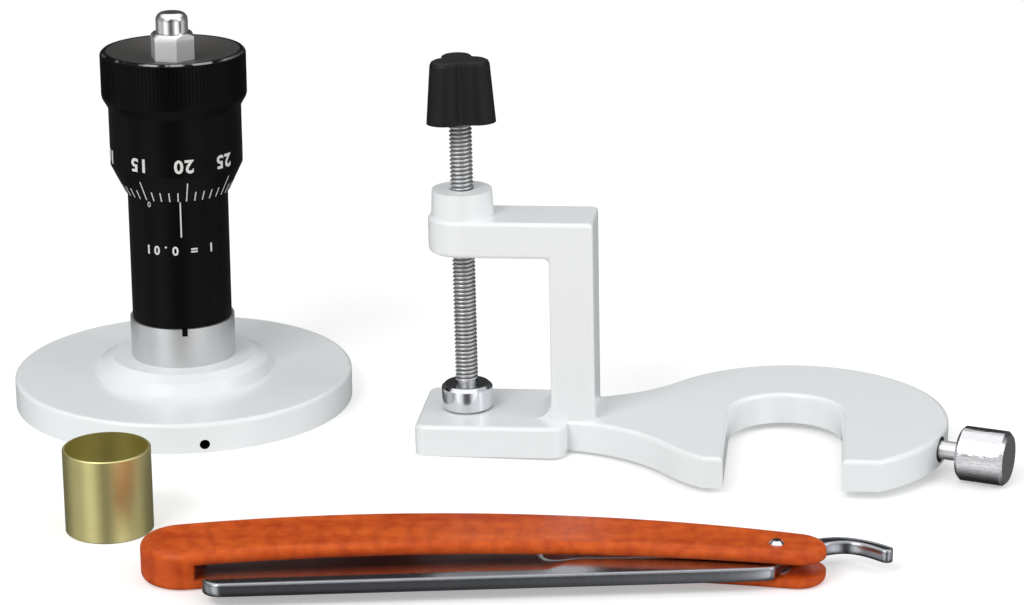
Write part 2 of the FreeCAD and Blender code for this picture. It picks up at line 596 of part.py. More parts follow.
polygon(arm_sketch, [(-s.screw_reach, -s.arm_half), (-arm_root, -s.arm_half),
                     (-arm_root, s.arm_half), (-s.screw_reach, s.arm_half)])
pad(clamp_frame, arm_sketch, "arm_block", s.arm_height)
end_sketch = new_sketch(clamp_frame, "arm_end_section", level=arm_underside)
circle(end_sketch, -s.screw_reach, 0, s.arm_half)
arm = pad(clamp_frame, end_sketch, "arm_end", s.arm_height)
dress(clamp_frame, "arm_round", arm, s.cast_round, lambda edge: at_level(edge, arm_top)
      or at_level(edge, arm_underside) and middle(edge).x < -float(s.column_inside)
      and abs(middle(edge).y) > float(s.arm_half) / 2)


def cove(name, reach, level, radius, turn):
    """Fill a corner of the casting with a quarter hollow, turned about the corner in degrees."""
    corner = Placement(Vector(-float(reach), 0, float(level)), Rotation(Vector(0, 1, 0), turn))
    flat = s.arm_half - s.cast_round
    block = clamp_frame.newObject("PartDesign::AdditiveBox", name)
    block.AttachmentSupport = [(plane(clamp_frame), "")]
    block.MapMode = "FlatFace"
    block.AttachmentOffset = corner.multiply(Placement(Vector(0, -float(flat), 0), Rotation()))
    bind(block, "Length", radius)
    bind(block, "Width", 2 * flat)
    bind(block, "Height", radius)
    hollow = Placement(Vector(float(radius), float(flat + s.overrun), float(radius)), Rotation(Vector(1, 0, 0), 90))
    bore(clamp_frame, name + "_hollow", radius, 2 * (flat + s.overrun), corner.multiply(hollow))


cove("throat_foot", s.column_inside, s.ring_thickness, s.throat_foot, -90)
cove("throat_corner", s.column_inside, arm_underside, s.throat_corner, 180)
cove("neck_corner", column_outside, s.ring_thickness, s.throat_corner, 0)
boss_middle = arm_underside + s.arm_height / 2
boss = clamp_frame.newObject("PartDesign::AdditiveCone", "boss")
boss.AttachmentSupport = [(plane(clamp_frame), "")]
boss.MapMode = "FlatFace"
boss.AttachmentOffset = Placement(Vector(-float(s.screw_reach), 0, float(boss_middle)), Rotation())
bind(boss, "Radius1", s.boss_radius + s.boss_draft)
bind(boss, "Radius2", s.boss_radius)
bind(boss, "Height", boss_top - boss_middle)
bore(clamp_frame, "screw_hole", s.screw_radius + s.screw_play, boss_top - arm_underside + 2 * s.overrun,
     Placement(Vector(-float(s.screw_reach), 0, float(arm_underside - s.overrun)), Rotation()))
bore(clamp_frame, "lock_hole", s.lock_radius + s.lock_play, lock_wall + s.overrun,
     spoke(s.lock_turn, 0, lock_level))
parts.append(clamp_frame)

# Pressure pad: the steel foot that the clamp screw presses on the table edge, hollow above
# for the screw's end and grooved inside for the retaining ring
pressure_pad = new_body("pressure_pad")
socket_radius = s.tip_radius + s.screw_play
clip_groove = s.clip_radius + s.screw_play
revolve(pressure_pad, "pad_solid", [
    (ZERO, pad_foot), (s.pad_radius - s.pad_bevel / 2, pad_foot), (s.pad_radius, pad_foot + s.pad_bevel / 2),
    (s.pad_radius, pad_top - s.pad_bevel), (s.pad_radius - s.pad_bevel, pad_top), (socket_radius, pad_top),
    (socket_radius, clip_level + s.clip_thickness), (clip_groove, clip_level + s.clip_thickness),
    (clip_groove, clip_level), (socket_radius, clip_level), (socket_radius, screw_tip - s.screw_play),
    (ZERO, screw_tip - s.screw_play)])
parts.append(pressure_pad)

# Retaining ring: the spring ring that keeps the screw's end in the pad
retaining_ring = new_body("retaining_ring")
waist = s.tip_radius - s.tip_groove
clip_bore = waist + s.screw_play
revolve(retaining_ring, "ring_wire", [
    (clip_bore, clip_level + s.screw_play), (s.clip_radius, clip_level + s.screw_play),
    (s.clip_radius, clip_level + s.clip_thickness - s.screw_play),
    (clip_bore, clip_level + s.clip_thickness - s.screw_play)])
parts.append(retaining_ring)

# Clamp screw: a long screw with a grooved end in the pad and its top in the knob's insert
clamp_screw = new_body("clamp_screw")
screw_top = s.lobe_foot + s.insert_length
neck_top = pad_top + s.pad_gap
revolve(clamp_screw, "screw_solid", [
    (ZERO, screw_tip), (s.tip_radius, screw_tip), (s.tip_radius, clip_level), (waist, clip_level),
    (waist, clip_level + s.clip_thickness), (s.tip_radius, clip_level + s.clip_thickness),
    (s.tip_radius, neck_top), (s.screw_radius, neck_top + s.screw_radius - s.tip_radius),
    (s.screw_radius, screw_top), (ZERO, screw_top)])
parts.append(clamp_screw)

# Knob insert: the steel bush moulded into the clamp knob
knob_insert = new_body("knob_insert")
revolve(knob_insert, "insert_bush", [
    (s.screw_radius + s.cap_play, s.lobe_foot), (s.insert_radius, s.lobe_foot), (s.insert_radius, screw_top),
    (s.screw_radius + s.cap_play, screw_top)])
parts.append(knob_insert)


def lobed_wire(scale, level):
    """A three-lobed outline: lobe arcs joined by hollow arcs that touch them."""
    offset = float(s.lobe_offset) * scale
    lobe = float(s.lobe_radius) * scale
    waist = float(s.lobe_waist) * scale
    # the hollow's circle stands half way between two lobes and touches both of them
    along = offset * math.cos(math.radians(60)) - waist
    across = offset * math.sin(math.radians(60))
    hollow = (along ** 2 + across ** 2 - lobe ** 2) / (2 * (lobe + along))
    arcs = []
    for step in range(3):
        turn = float(s.lobe_turn) + 120 * step
        centre = about_z(offset, turn)
        following = about_z(offset, turn + 120)
        before = about_z(waist + hollow, turn - 60)
        after = about_z(waist + hollow, turn + 60)
        start = centre + (before - centre).normalize() * lobe
        end = centre + (after - centre).normalize() * lobe
        follow_start = following + (after - following).normalize() * lobe
        arcs.append(Part.Arc(start, about_z(offset + lobe, turn), end).toShape())
        arcs.append(Part.Arc(end, about_z(waist, turn + 60), follow_start).toShape())
    wire = Part.Wire(arcs)
    wire.translate(Vector(0, 0, level))
    return wire


# Clamp knob: a moulded three-lobed knob, drawn in towards its rounded top
clamp_knob = doc.addObject("Part::Feature", "clamp_knob")
lobe_reach = float(s.lobe_offset + s.lobe_radius)
lobe_round = float(s.lobe_round)
knob_outlines = [lobed_wire(1.0, float(s.lobe_foot))]
for turn in (0, 45, 90):
    inset = lobe_round * (1 - math.cos(math.radians(turn)))
    rise = float(s.lobe_height) - lobe_round * (1 - math.sin(math.radians(turn)))
    draft = 1 - (1 - float(s.lobe_draft)) * rise / float(s.lobe_height)
    knob_outlines.append(lobed_wire(draft - inset / lobe_reach, float(s.lobe_foot) + rise))
hole_foot = s.lobe_foot - s.overrun
hole_height = screw_top + s.cap_play - hole_foot
insert_hole = Part.makeCylinder(float(s.insert_radius + s.cap_play), float(hole_height),
                                Vector(0, 0, float(hole_foot)))
clamp_knob.Shape = Part.makeLoft(knob_outlines, True, True).cut(insert_hole)
parts.append(clamp_knob)

screw_family = (pressure_pad, retaining_ring, clamp_screw, knob_insert, clamp_knob)
on_screw_axis = clamp_place.multiply(Placement(Vector(-float(s.screw_reach), 0, 0), Rotation()))

# Lock screw: threaded through the ring towards the collar, with a plain neck outside
lock_screw = new_body("lock_screw")
lock_end = slot_half / math.cos(math.radians(float(s.lock_turn))) + s.lock_tip
revolve(lock_screw, "lock_rod", [
    (ZERO, lock_end), (s.lock_radius - s.lock_tip, lock_end), (s.lock_radius, lock_end + s.lock_tip),
    (s.lock_radius, lock_wall - s.lock_tip), (s.lock_neck, lock_wall - s.lock_tip),
    (s.lock_neck, lock_start + s.lock_socket), (ZERO, lock_start + s.lock_socket)])
parts.append(lock_screw)

# Lock knob: the turned steel head of the lock screw
lock_knob = new_body("lock_knob")
lock_knob_end = lock_start + s.lock_knob_length
lock_rim = s.lock_knob_radius - s.lock_knob_bevel
lock_hole = s.lock_neck + s.cap_play
lock_hole_end = lock_start + s.lock_socket + s.cap_play
revolve(lock_knob, "lock_head", [
    (lock_hole, lock_start), (lock_rim, lock_start), (s.lock_knob_radius, lock_start + s.lock_knob_bevel),
    (s.lock_knob_radius, lock_knob_end - s.lock_knob_bevel), (lock_rim, lock_knob_end), (ZERO, lock_knob_end),
    (ZERO, lock_hole_end), (lock_hole, lock_hole_end)])
parts.append(lock_knob)

clamp_frame.Placement = clamp_place
for piece in screw_family:
    piece.Placement = on_screw_axis
for piece in (lock_screw, lock_knob):
    piece.Placement = clamp_place.multiply(spoke(s.lock_turn, 0, lock_level))

# Specimen tube: a thin brass tube that slides into the barrel's bore
brass_tube = new_body("brass_tube")
tube_radius = s.bore_radius - s.tube_play
revolve(brass_tube, "tube_wall", [
    (tube_radius - s.tube_wall, ZERO), (tube_radius - s.tube_bevel, ZERO), (tube_radius, s.tube_bevel),
    (tube_radius, s.tube_height - s.tube_bevel), (tube_radius - s.tube_bevel, s.tube_height),
    (tube_radius - s.tube_wall, s.tube_height)])
brass_tube.Placement = Placement(Vector(float(s.tube_x), float(s.tube_y), 0), Rotation())
parts.append(brass_tube)

# Folding razor: modelled with its pivot on the Z axis and the closed handle along -X
razor_place = Placement(Vector(float(s.razor_x), float(s.razor_y), 0), Rotation())


def touching_arc(first, first_radius, second, second_radius, radius, outside):
    """Where a large arc touches two end circles, as two points and a point between them.

    Outside, the arc wraps round both circles; otherwise it curves away between them."""
    sign = -1 if outside else 1
    reach_first = radius + sign * first_radius
    reach_second = radius + sign * second_radius
    chord = second - first
    span = chord.Length
    along = (span ** 2 + reach_first ** 2 - reach_second ** 2) / (2 * span)
    height = math.sqrt(reach_first ** 2 - along ** 2)
    unit = Vector(chord).normalize()
    across = Vector(-unit.y, unit.x, 0)
    centre = first + unit * along - across * height
    start = first + (first - centre).normalize() * (first_radius if outside else -first_radius)
    end = second + (second - centre).normalize() * (second_radius if outside else -second_radius)
    crest = centre + across * radius
    return start, crest, end


# Razor handle: two leaves moulded in one with a solid closed end
razor_handle = doc.addObject("Part::Feature", "razor_handle")
handle_end = Vector(float(s.handle_end_x), float(s.handle_end_y), 0)
handle_nose = Vector(float(s.handle_nose_x), 0, 0)
end_radius = float(s.handle_end_radius)
nose_radius = float(s.handle_nose_radius)
back_start, back_crest, back_end = touching_arc(
    handle_end, end_radius, handle_nose, nose_radius, float(s.handle_back), True)
front_start, front_crest, front_end = touching_arc(
    handle_end, end_radius, handle_nose, nose_radius, float(s.handle_front), False)
handle_outline = Part.Wire([
    Part.Arc(front_start, handle_end + Vector(-end_radius, 0, 0), back_start).toShape(),
    Part.Arc(back_start, back_crest, back_end).toShape(),
    Part.Arc(back_end, handle_nose + Vector(nose_radius, 0, 0), front_end).toShape(),
    Part.Arc(front_end, front_crest, front_start).toShape()])
handle_solid = Part.Face(handle_outline).extrude(Vector(0, 0, float(handle_thickness)))
handle_solid = handle_solid.makeFillet(float(s.handle_round), [
    edge for edge in handle_solid.Edges if at_level(edge, 0) or at_level(edge, handle_thickness)])
gap_start = handle_end.x - end_radius + float(s.handle_web)
gap_half = 2 * end_radius + float(s.handle_end_y)
gap_end = handle_nose.x + nose_radius + float(s.overrun)
blade_slot = Part.makeBox(gap_end - gap_start, 2 * gap_half, float(leaf_gap),
                          Vector(gap_start, -gap_half, float(s.leaf_thickness)))


def pin_hole(level, height):
    """A drill for the pivot pin, from a level upwards."""
    return Part.makeCylinder(float(s.pin_radius + s.pivot_play), float(height), Vector(0, 0, float(level)))


pivot_drill = pin_hole(-s.overrun, handle_thickness + 2 * s.overrun)
razor_handle.Shape = handle_solid.cut([blade_slot, pivot_drill])
parts.append(razor_handle)

# Razor blade: hollow-ground blade, tang and hooked tail in one piece of steel. The pivot is
# the origin, and the blade's straight back runs from the tang to the point.
razor_blade = doc.addObject("Part::Feature", "razor_blade")
blade_turn = Rotation(Vector(0, 0, 1), float(s.blade_slope))
length = float(s.blade_length)
width = float(s.blade_width)
heel = float(s.blade_heel)
tang = float(s.tang_half)
tail_half = float(s.tail_half)


def on_blade(along, across):
    """A point at a distance from the pivot along the back line and across it."""
    return blade_turn.multVec(Vector(-along, across - float(s.blade_back), 0))


heel_radius = float(s.heel_radius)
heel_low = on_blade(heel, 2 * tang)
heel_turn = on_blade(heel + heel_radius, 2 * tang + heel_radius)
heel_middle = on_blade(heel + heel_radius * math.sqrt(0.5), 2 * tang + heel_radius * (1 - math.sqrt(0.5)))
tail_tip = Vector(float(s.tail_reach), float(s.tail_tip_rise), 0)
tail_crest = Vector(float(s.tail_crest_reach), float(s.tail_rise), 0)
upper_tang = Part.BSplineCurve()
upper_tang.interpolate([heel_low, Vector(0, tang, 0), tail_crest + Vector(0, tail_half, 0),
                        tail_tip + Vector(tail_half, tail_half, 0).normalize() * tail_half],
                       InitialTangent=blade_turn.multVec(Vector(1, 0, 0)),
                       FinalTangent=Vector(1, -1, 0).normalize())
lower_tang = Part.BSplineCurve()
lower_tang.interpolate([tail_tip - Vector(tail_half, tail_half, 0).normalize() * tail_half,
                        tail_crest - Vector(0, tail_half, 0), Vector(0, -tang, 0),
                        on_blade(float(s.tang_reach), 0)],
                       InitialTangent=Vector(-1, 1, 0).normalize(),
                       FinalTangent=blade_turn.multVec(Vector(-1, 0, 0)))
blade_outline = Part.Wire([
    upper_tang.toShape(),
    Part.Arc(upper_tang.EndPoint, tail_tip + Vector(tail_half, -tail_half, 0).normalize() * tail_half,
             lower_tang.StartPoint).toShape(),
    lower_tang.toShape(),
    Part.LineSegment(lower_tang.EndPoint, on_blade(length, 0)).toShape(),
    Part.LineSegment(on_blade(length, 0), on_blade(length, width)).toShape(),
    Part.LineSegment(on_blade(length, width), on_blade(heel + heel_radius, width)).toShape(),
    Part.LineSegment(on_blade(heel + heel_radius, width), heel_turn).toShape(),
    Part.Arc(heel_turn, heel_middle, heel_low).toShape()])
blade_solid = Part.Face(blade_outline).extrude(Vector(0, 0, float(s.tang_thickness)))
blade_solid.translate(Vector(0, 0, float(tang_level)))
point = on_blade(length, 0)
blade_solid = blade_solid.makeFillet(float(s.blade_round), [
    edge for edge in blade_solid.Edges if upright(edge)
    and math.hypot(middle(edge).x - point.x, middle(edge).y - point.y) < 0.01])
# each side is hollowed by a grinding wheel that runs along the blade
hollow_depth = float(s.tang_thickness - s.edge_thickness) / 2
ground_width = width - float(s.spine_width)
wheel_radius = (ground_width ** 2 + hollow_depth ** 2) / (2 * hollow_depth)
wheel_start = on_blade(length + float(s.overrun), width)
wheel_end = on_blade(heel + heel_radius, width)
wheel_run = length - heel - heel_radius + float(s.overrun)
along_blade = blade_turn.multVec(Vector(1, 0, 0))
for level in (float(tang_level + s.tang_thickness) - hollow_depth + wheel_radius,
              float(tang_level) + hollow_depth - wheel_radius):
    wheel = Part.makeCylinder(wheel_radius, wheel_run, wheel_start + Vector(0, 0, level), along_blade)
    run_out = Part.makeCone(wheel_radius, wheel_radius - hollow_depth, float(s.hollow_run_out),
                            wheel_end + Vector(0, 0, level), along_blade)
    blade_solid = blade_solid.cut(wheel).cut(run_out)
razor_blade.Shape = blade_solid.cut(pivot_drill)
parts.append(razor_blade)

# Pivot washers: one on each side of the tang
pivot_washers = doc.addObject("Part::Feature", "pivot_washers")
washers = []
for level in (s.leaf_thickness, s.leaf_thickness + leaf_gap - s.washer_thickness):
    washer = Part.makeCylinder(float(s.washer_radius), float(s.washer_thickness), Vector(0, 0, float(level)))
    washers.append(washer.cut(pin_hole(level, s.washer_thickness)))
pivot_washers.Shape = Part.makeCompound(washers)
parts.append(pivot_washers)

# Pivot pin: flush below and peened to a domed head above
pivot_pin = new_body("pivot_pin")
revolve(pivot_pin, "pin_rod", [
    (ZERO, ZERO), (s.pin_radius, ZERO), (s.pin_radius, handle_thickness), (s.pin_head, handle_thickness),
    (s.pin_head - s.pin_bevel, handle_thickness + s.pin_dome), (ZERO, handle_thickness + s.pin_dome)])
parts.append(pivot_pin)

for piece in (razor_handle, razor_blade, pivot_washers, pivot_pin):
    piece.Placement = razor_place

doc.recompute()
for item in doc.Objects:
    if "Invalid" in item.State or "Error" in item.State:
        raise RuntimeError(f"{item.Label} failed: {item.State}")
for piece in parts:
    if piece.Shape.isNull() or not piece.Shape.isValid() or not piece.Shape.Solids:
        raise RuntimeError(f"{piece.Label} has no sound solid")

os.makedirs("parts", exist_ok=True)
for piece in parts:
    piece.Shape.exportStep(f"parts/{piece.Label}.step")
    print(piece.Label, round(piece.Shape.Volume, 1), len(piece.Shape.Solids))
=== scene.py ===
import json
import math

import bpy
from mathutils import Matrix, Vector


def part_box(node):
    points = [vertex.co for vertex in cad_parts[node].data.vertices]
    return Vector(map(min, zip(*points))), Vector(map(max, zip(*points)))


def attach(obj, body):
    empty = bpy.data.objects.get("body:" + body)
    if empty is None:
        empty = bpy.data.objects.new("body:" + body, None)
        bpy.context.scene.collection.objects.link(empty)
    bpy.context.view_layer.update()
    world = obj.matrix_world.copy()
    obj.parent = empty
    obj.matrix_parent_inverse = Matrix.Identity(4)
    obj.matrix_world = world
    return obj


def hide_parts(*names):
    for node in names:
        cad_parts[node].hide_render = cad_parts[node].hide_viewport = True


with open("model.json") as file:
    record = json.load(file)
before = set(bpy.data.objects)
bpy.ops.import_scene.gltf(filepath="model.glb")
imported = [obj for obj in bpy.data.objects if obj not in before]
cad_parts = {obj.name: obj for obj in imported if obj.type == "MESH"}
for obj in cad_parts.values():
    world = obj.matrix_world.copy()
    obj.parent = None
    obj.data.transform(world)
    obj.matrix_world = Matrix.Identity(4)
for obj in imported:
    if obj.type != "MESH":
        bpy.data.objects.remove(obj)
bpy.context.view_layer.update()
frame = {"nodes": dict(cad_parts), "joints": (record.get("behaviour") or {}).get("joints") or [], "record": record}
mounts = {mount["name"]: mount for mount in frame["record"]["mounts"]}
joints = {joint["name"]: joint for joint in frame["joints"]}

# Camera: a long lens a little above the set and level from side to side, as the picture's
# perspective shows.
camera_place = (0.0039, -0.6419, 0.2465)
camera_pitch = 0.312
sensor_width = 36.0
lens_length = 100.6
nearest_view = 0.01
bpy.ops.object.camera_add(location=camera_place, rotation=(math.pi / 2 - camera_pitch, 0, 0))
camera = bpy.context.object
camera.data.sensor_width = sensor_width
camera.data.lens = lens_length
camera.data.clip_start = nearest_view
bpy.context.scene.camera = camera
bpy.context.scene.view_settings.view_transform = "Standard"


# Studio: a white paper floor under two wide soft lamps and a pale room. In reflections the
# room has a bright ceiling, two bright screens beside the lens and dark walls elsewhere, so
# that polished metal shows bands.
class Wire:
    """A shader socket. Arithmetic on it adds Math nodes to the tree that is being built."""

    tree = None

    def __init__(self, socket):
        self.socket = socket

    @staticmethod
    def node(kind, settings=None, output=0, **sockets):
        """Any other node: its settings are set first, then its sockets get values or links."""
        made = Wire.tree.nodes.new(kind)
        for name, value in (settings or {}).items():
            if name == "stops":
                while len(made.color_ramp.elements) < len(value):
                    made.color_ramp.elements.new(1.0)
                for stop, (place, colour) in zip(made.color_ramp.elements, value):
                    stop.position = place
                    stop.color = (*colour, 1.0)
            else:
                setattr(made, name, value)
        for name, value in sockets.items():
            target = made.inputs[int(name[1:]) if name[1:].isdigit() else name.replace("_", " ")]
            if isinstance(value, Wire):
                Wire.tree.links.new(value.socket, target)
            elif target.type == "RGBA":
                target.default_value = (*value, 1.0)
            else:
                target.default_value = value
        return Wire(made.outputs[output]) if made.outputs else None

    @staticmethod
    def maths(operation, *values):
        numbered = {f"i{place}": value for place, value in enumerate(values)}
        return Wire.node("ShaderNodeMath", {"operation": operation}, **numbered)

    def __add__(self, other):
        return Wire.maths("ADD", self, other)

    def __radd__(self, other):
        return Wire.maths("ADD", other, self)

    def __sub__(self, other):
        return Wire.maths("SUBTRACT", self, other)

    def __rsub__(self, other):
        return Wire.maths("SUBTRACT", other, self)

    def __mul__(self, other):
        return Wire.maths("MULTIPLY", self, other)

    def __rmul__(self, other):
        return Wire.maths("MULTIPLY", other, self)

    def __neg__(self):
        return Wire.maths("MULTIPLY", self, -1.0)

    def __gt__(self, other):
        return Wire.maths("GREATER_THAN", self, other)

    def __lt__(self, other):
        return Wire.maths("LESS_THAN", self, other)


def start_material(name):
    """An empty material. The expressions that follow build in its tree."""
    material = bpy.data.materials.new(name)
    material.use_nodes = True
    material.node_tree.nodes.clear()
    Wire.tree = material.node_tree
    return material


def axes_of(vector):
    """The three parts of a vector."""
    parts = Wire.node("ShaderNodeSeparateXYZ", Vector=vector)
    return [Wire(parts.socket.node.outputs[axis]) for axis in "XYZ"]


def fade(value, start, end, first, last):
    """A value from start to end becomes one from first to last."""
    return Wire.node("ShaderNodeMapRange", Value=value, i1=start, i2=end, i3=first, i4=last)


# Each step is a turn from the lens, as a share of half a turn, and the grey there.
screen_steps = ((0.0, 0.10), (0.06, 0.14), (0.15, 1.00), (0.24, 1.30), (0.34, 0.42), (0.50, 0.60),
                (0.64, 0.16), (1.0, 0.06))


def screens(x, y):
    """How bright a reflection is that runs off in a level direction."""
    turn = Wire.maths("ARCTAN2", Wire.maths("ABSOLUTE", x), -y) * (1.0 / math.pi)
    stops = [(place, (grey, grey, grey)) for place, grey in screen_steps]
    return Wire.node("ShaderNodeValToRGB", {"stops": stops}, i0=turn)


white = (1.0, 1.0, 1.0)
floor_size = 6.0
floor_grey = 0.82
floor_glow = 0.34
steep_start = 0.45
steep_end = 0.90
steep_light = 0.22
bpy.ops.mesh.primitive_plane_add(size=floor_size)
floor = bpy.context.object
floor.name = "paper_floor"
paper = start_material("white paper")
from_lens = Wire.node("ShaderNodeLightPath")
mirrored = Wire.node("ShaderNodeLightPath", output=3)
run = axes_of(Wire.node("ShaderNodeNewGeometry", output=4))
matt = Wire.node(
    "ShaderNodeAddShader",
    i0=Wire.node("ShaderNodeBsdfDiffuse", Color=(floor_grey, floor_grey, floor_grey)),
    i1=Wire.node("ShaderNodeEmission", Color=white, Strength=from_lens * floor_glow))
reflected = Wire.node(
    "ShaderNodeEmission", Color=white,
    Strength=screens(-run[0], -run[1]) * fade(run[2], steep_start, steep_end, 1.0, steep_light))
Wire.node("ShaderNodeOutputMaterial",
          Surface=Wire.node("ShaderNodeMixShader", i0=mirrored, i1=matt, i2=reflected))
floor.data.materials.append(paper)

room_light = 0.66
wall_light = 0.60
ceiling_light = 1.25
ceiling_start = 0.52
ceiling_end = 0.80
world = bpy.data.worlds.new("pale room")
world.use_nodes = True
world.node_tree.nodes.clear()
Wire.tree = world.node_tree
mirrored = Wire.node("ShaderNodeLightPath", output=3)
run = axes_of(Wire.node("ShaderNodeTexCoord"))
overhead = fade(run[2], ceiling_start, ceiling_end, 0.0, 1.0)
walls = screens(run[0], run[1]) * wall_light
reflected = walls * (1.0 - overhead) + overhead * ceiling_light
Wire.node("ShaderNodeOutputWorld", Surface=Wire.node(
    "ShaderNodeBackground", Color=white,
    Strength=reflected * mirrored + room_light * (1.0 - mirrored)))
bpy.context.scene.world = world

softbox_aim = (0.0, 0.0, 0.03)


def add_softbox(name, place, width, height, watts):
    towards = Vector(softbox_aim) - Vector(place)
    turn = towards.to_track_quat("-Z", "Y").to_euler()
    bpy.ops.object.light_add(type="AREA", location=place, rotation=turn)
    lamp = bpy.context.object
    lamp.name = name
    lamp.data.shape = "RECTANGLE"
    lamp.data.size = width
    lamp.data.size_y = height
    lamp.data.energy = watts


add_softbox("key_softbox", (-0.55, -0.75, 0.95), width=0.55, height=0.45, watts=5.6)
add_softbox("fill_softbox", (0.85, -0.35, 0.60), width=0.40, height=0.60, watts=1.8)


# Painted castings: the cutting table and the clamp's frame are castings with a smooth coat of
# off-white enamel, a little wavy and slightly cool in tone. Inside the table's rim hole and the
# lock screw's hole the enamel is coloured near-black, a painted shade for these recesses.
def add_noise(place, scale, detail=3.0, roughness=0.5):
    return Wire.node("ShaderNodeTexNoise", Vector=place, Scale=scale, Detail=detail, Roughness=roughness)


def blend_colours(share, first, second):
    return Wire.node("ShaderNodeMix", {"data_type": "RGBA"}, output=2, i0=share, i6=first, i7=second)


def bump(height, strength, distance):
    return Wire.node("ShaderNodeBump", Height=height, Strength=strength, Distance=distance)


def close_material(**sockets):
    Wire.node("ShaderNodeOutputMaterial", Surface=Wire.node("ShaderNodeBsdfPrincipled", **sockets))


def finish_nodes(material, *names):
    """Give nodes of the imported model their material."""
    for name in names:
        for holder in frame["nodes"][name].material_slots:
            holder.material = material


def object_place():
    return Wire.node("ShaderNodeTexCoord", output=3)


def vector_maths(operation, first, second, output=0):
    return Wire.node("ShaderNodeVectorMath", {"operation": operation}, output=output, i0=first, i1=second)


def length_of(vector):
    return Wire.node("ShaderNodeVectorMath", {"operation": "LENGTH"}, output=1, i0=vector)


def inside_hole(place, mouth, direction, radius, depth):
    """One inside a cylinder round a hole's axis, from its mouth to a depth, and nought elsewhere."""
    from_mouth = vector_maths("SUBTRACT", place, mouth)
    along = vector_maths("DOT_PRODUCT", from_mouth, direction, output=1)
    distance = length_of(vector_maths("CROSS_PRODUCT", from_mouth, direction))
    return (distance < radius) * (along < 0.0) * (along > -depth)


unit_axis = mounts["clamp_collar"]["pos_m"]
unit_centre = (unit_axis[0], unit_axis[1], 0.0)
table_low, table_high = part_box("cutting_table")
rim_round = 0.0003
mouth_radius = (table_high[0] - table_low[0]) / 2 - rim_round
rim_hole_turn = math.radians(-77.4)
rim_hole_level = 0.0021
rim_hole_radius = 0.00128
rim_hole_depth = 0.0250
rim_hole_line = (math.cos(rim_hole_turn), math.sin(rim_hole_turn), 0.0)
rim_hole_mouth = (unit_centre[0] + mouth_radius * rim_hole_line[0],
                  unit_centre[1] + mouth_radius * rim_hole_line[1], rim_hole_level)
lock_joint = joints["lock_turn"]
lock_hole_line = tuple(lock_joint["axis"])
lock_hole_mouth = tuple(lock_joint["pos_m"])
lock_hole_radius = 0.00310
lock_hole_depth = 0.0060

cool_enamel = (0.900, 0.936, 0.944)
pale_enamel = (0.930, 0.958, 0.965)
hole_shade_black = (0.006, 0.006, 0.010)
enamel = start_material("off-white enamel")
spot = object_place()
# Painted shade: near-black and rougher inside the two holes.
hole_shade = Wire.maths(
    "MAXIMUM",
    inside_hole(spot, rim_hole_mouth, rim_hole_line, rim_hole_radius, rim_hole_depth),
    inside_hole(spot, lock_hole_mouth, lock_hole_line, lock_hole_radius, lock_hole_depth))
close_material(
    Base_Color=blend_colours(
        hole_shade, blend_colours(add_noise(spot, 24.0), cool_enamel, pale_enamel), hole_shade_black),
    Roughness=0.26 + 0.08 * add_noise(spot, 160.0) + 0.4 * hole_shade,
    Coat_Weight=0.30, Coat_Roughness=0.12,
    Normal=bump(add_noise(spot, 120.0, 2.0), 0.03, 0.0003))
finish_nodes(enamel, "cutting_table", "clamp_frame")


# Bare steel: the barrel's collar, the piston and the screws are turned steel, so fine lines
# run round the unit's axis. The tone varies a little from place to place.
def stretch(place, scale, centre=(0.0, 0.0, 0.0)):
    """A place measured from a centre, with each axis stretched by its own scale."""
    return vector_maths("MULTIPLY", vector_maths("SUBTRACT", place, centre), scale)


def radius_about(place, centre):
    return length_of(stretch(place, (1.0, 1.0, 0.0), centre))


def height_of(place):
    return axes_of(place)[2]


def vector_from(x, y, z):
    return Wire.node("ShaderNodeCombineXYZ", X=x, Y=y, Z=z)


dark_steel = (0.62, 0.63, 0.64)
pale_steel = (0.80, 0.81, 0.82)
turned_steel = start_material("turned steel")
spot = object_place()
rings = add_noise(vector_from(radius_about(spot, unit_centre), 0.0, height_of(spot)), 2600.0, 2.0)
close_material(
    Base_Color=blend_colours(add_noise(spot, 120.0), dark_steel, pale_steel),
    Metallic=0.9,
    Roughness=0.30 + 0.16 * rings,
    Normal=bump(rings, 0.25, 0.0002))
finish_nodes(turned_steel, "barrel", "specimen_piston", "piston_screw", "feed_screw", "table_set_screw",
             "retaining_ring", "knob_insert", "pivot_washers", "lock_screw", "clamp_screw")


# Specimen tube and feed nut: drawn brass, turned to length, so fine lines run round it. Its
# tone drifts where it has been handled.
tube_axis = mounts["tube_bore"]["pos_m"]
tube_centre = (tube_axis[0], tube_axis[1], 0.0)
dark_brass = (0.66, 0.60, 0.25)
pale_brass = (0.84, 0.78, 0.38)
brushed_brass = start_material("brushed brass")
spot = object_place()
lines = add_noise(stretch(spot, (90.0, 90.0, 5200.0), tube_centre), 1.0, 3.0)
close_material(
    Base_Color=blend_colours(add_noise(spot, 90.0), dark_brass, pale_brass),
    Metallic=1.0,
    Roughness=0.33 + 0.16 * lines,
    Normal=bump(lines, 0.18, 0.0002))
finish_nodes(brushed_brass, "brass_tube", "feed_nut")


# Bright plating: the pressure pad and the razor's pin are turned and chromed. The lock knob is
# chromed too, with streaks for its fine knurl, and the acorn nut is steel with bright nickel.
# The nut's hex, below its shoulder, is made half matt so that it shows white: a painted highlight.
chrome = (0.78, 0.79, 0.82)
bright_chrome = start_material("bright chrome")
spot = object_place()
close_material(
    Base_Color=chrome,
    Metallic=1.0,
    Roughness=0.07 + 0.10 * add_noise(spot, 500.0, 4.0),
    Normal=bump(add_noise(spot, 160.0), 0.05, 0.0005))
finish_nodes(bright_chrome, "pressure_pad", "pivot_pin")

